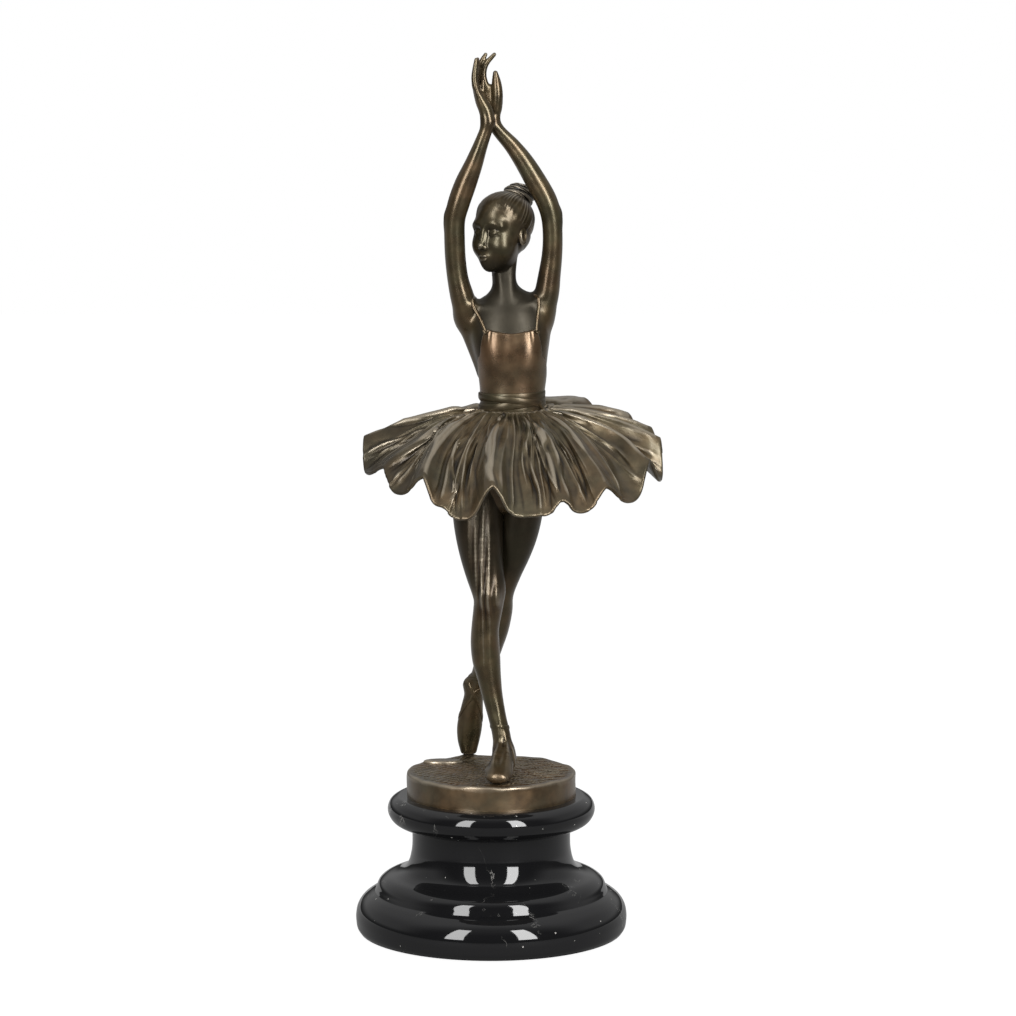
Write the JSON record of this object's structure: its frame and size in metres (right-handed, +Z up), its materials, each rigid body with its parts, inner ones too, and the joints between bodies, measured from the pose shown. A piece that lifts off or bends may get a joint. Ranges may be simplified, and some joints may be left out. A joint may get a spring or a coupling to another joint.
{
  "type": "dancer statuette",
  "caption": "Bronze dancer in a wide pleated skirt with arms raised and crossed, on a round ground disc bolted to a turned black marble base.",
  "frame": {"origin": "centre of the felt's flat underside, on the axis of the turned marble base", "axes": "+Z up through the base and the figure; the dancer's body faces -Y; +X is the dancer's left"},
  "size_m": [0.113, 0.1088, 0.3297],
  "materials": {
    "bronze": "brown patina over cast bronze, satin",
    "black_marble": "polished, with small white flecks and veins",
    "steel": "zinc plated",
    "felt": "wool felt"
  },
  "bodies": {
    "root": {"felt_pad": "felt", "marble_base": "black_marble", "flat_washer": "steel", "hex_nut": "steel", "threaded_stud": "steel", "ground_disc": "bronze", "oval_tablet": "bronze", "front_leg": "bronze", "rear_leg": "bronze", "hips": "bronze", "skirt": "bronze", "bodice": "bronze", "sash": "bronze", "bust": "bronze", "hair_bun": "bronze", "right_arm": "bronze", "left_arm": "bronze", "foot_pins": "bronze", "arm_pins": "bronze"}
  },
  "joints": []
}
